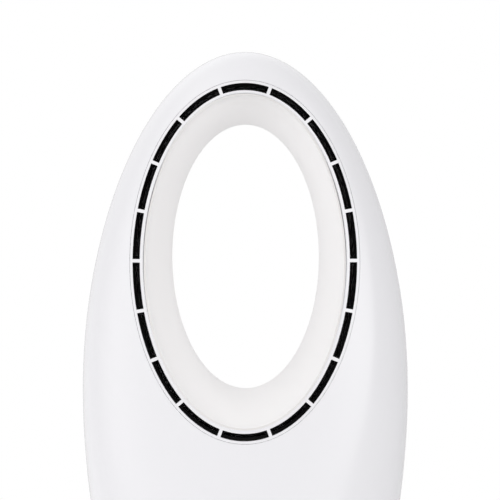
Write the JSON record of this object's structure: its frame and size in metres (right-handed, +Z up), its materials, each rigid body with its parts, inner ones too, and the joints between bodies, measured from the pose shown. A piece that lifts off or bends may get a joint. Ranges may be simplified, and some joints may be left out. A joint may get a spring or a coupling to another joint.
{
  "type": "bladeless fan",
  "caption": "White egg-shaped bladeless fan with an oval hole ringed by air slots, on a round base that swings it side to side",
  "frame": {"origin": "middle of the base's footprint, on the surface that the fan stands on", "axes": "+Z up along the swing axis, -Y out of the front, +X to the right seen from the front"},
  "size_m": [0.281, 0.23, 0.6161],
  "materials": {
    "casing_plastic": "glossy white",
    "duct_plastic": "glossy warm white",
    "grille_plastic": "satin white",
    "black_plastic": "matt black",
    "smoked_lens": "glossy smoked black",
    "key_plastic": "satin white",
    "circuit_board": "green solder mask",
    "component_plastic": "black moulded",
    "zinc_steel": "zinc plated",
    "filter_foam": "open dark foam",
    "inner_plastic": "grey moulded",
    "rubber": "soft black",
    "motor_can": "plated steel",
    "laminated_steel": "stacked laminations",
    "magnet": "sintered",
    "copper_winding": "enamelled copper",
    "bearing_steel": "ground steel",
    "impeller_plastic": "glass-filled black",
    "acetal": "natural acetal",
    "ballast_iron": "cast",
    "inlet_plastic": "black moulded",
    "pin_brass": "plated"
  },
  "bodies": {
    "base": {"base_cover": "casing_plastic", "base_plate": "inner_plastic", "ballast": "ballast_iron", "rubber_feet": "rubber", "lower_race": "bearing_steel", "pivot_bush": "acetal", "power_board": "circuit_board", "power_board_screws": "zinc_steel", "power_components": "component_plastic", "power_inlet": "inlet_plastic", "inlet_pins": "pin_brass", "swing_motor": "motor_can", "swing_motor_screws": "zinc_steel", "base_screws": "zinc_steel"},
    "head": {"front_shell": "casing_plastic", "rear_shell": "casing_plastic", "outlet_ring": "casing_plastic", "nozzle_liner": "black_plastic", "duct_ring": "duct_plastic", "display_lens": "smoked_lens", "display_module": "component_plastic", "control_board": "circuit_board", "tact_switches": "component_plastic", "board_screws": "zinc_steel", "intake_grille": "grille_plastic", "filter_frame": "black_plastic", "dust_filter": "filter_foam", "plenum_deck": "inner_plastic", "deck_seal": "rubber", "fan_gasket": "rubber", "shroud": "inner_plastic", "diffuser": "inner_plastic", "fan_screws": "zinc_steel", "motor_housing": "motor_can", "motor_end_cap": "motor_can", "motor_stator": "laminated_steel", "motor_windings": "copper_winding", "motor_bearings": "bearing_steel", "motor_screws": "zinc_steel", "body_floor": "inner_plastic", "pivot_gear": "acetal", "gear_screws": "zinc_steel", "shell_screws": "zinc_steel", "upper_race": "bearing_steel"},
    "rotor": {"impeller": "impeller_plastic", "motor_shaft": "bearing_steel", "rotor_magnet": "magnet", "impeller_nut": "zinc_steel"},
    "cage": {"ball_cage": "acetal", "bearing_balls": "bearing_steel"},
    "pinion": {"drive_gear": "acetal", "swing_motor_shaft": "bearing_steel"},
    "power_button": {"power_button": "key_plastic"},
    "speed_down_button": {"speed_down_button": "key_plastic"},
    "speed_up_button": {"speed_up_button": "key_plastic"},
    "swing_button": {"swing_button": "key_plastic"},
    "timer_button": {"timer_button": "key_plastic"}
  },
  "joints": [
    {"name": "swing", "type": "hinge", "parent": "base", "child": "head", "pos_m": [0, 0, 0.044], "axis": [0, 0, 1], "range_deg": [-40, 40]},
    {"name": "rotor_spin", "type": "hinge", "parent": "head", "child": "rotor", "pos_m": [0, 0, 0.12], "axis": [0, 0, 1], "continuous": true},
    {"name": "pinion_spin", "type": "hinge", "parent": "base", "child": "pinion", "pos_m": [0, 0.045, 0.0285], "axis": [0, 0, 1], "range_deg": [-165, 165]},
    {"name": "cage_turn", "type": "hinge", "parent": "base", "child": "cage", "pos_m": [0, 0, 0.0405], "axis": [0, 0, 1], "range_deg": [-22, 22]},
    {"name": "power_press", "type": "slide", "parent": "head", "child": "power_button", "axis": [0, 1, 0], "range_m": [0, 0.0008], "stiffness_N_per_m": 600},
    {"name": "speed_down_press", "type": "slide", "parent": "head", "child": "speed_down_button", "axis": [0, 1, 0], "range_m": [0, 0.0008], "stiffness_N_per_m": 600},
    {"name": "speed_up_press", "type": "slide", "parent": "head", "child": "speed_up_button", "axis": [0, 1, 0], "range_m": [0, 0.0008], "stiffness_N_per_m": 600},
    {"name": "swing_press", "type": "slide", "parent": "head", "child": "swing_button", "axis": [0, 1, 0], "range_m": [0, 0.0008], "stiffness_N_per_m": 600},
    {"name": "timer_press", "type": "slide", "parent": "head", "child": "timer_button", "axis": [0, 1, 0], "range_m": [0, 0.0008], "stiffness_N_per_m": 600}
  ],
  "couplings": [
    {"joint": "pinion_spin", "follows": "swing", "ratio": -4},
    {"joint": "cage_turn", "follows": "swing", "ratio": 0.5}
  ]
}
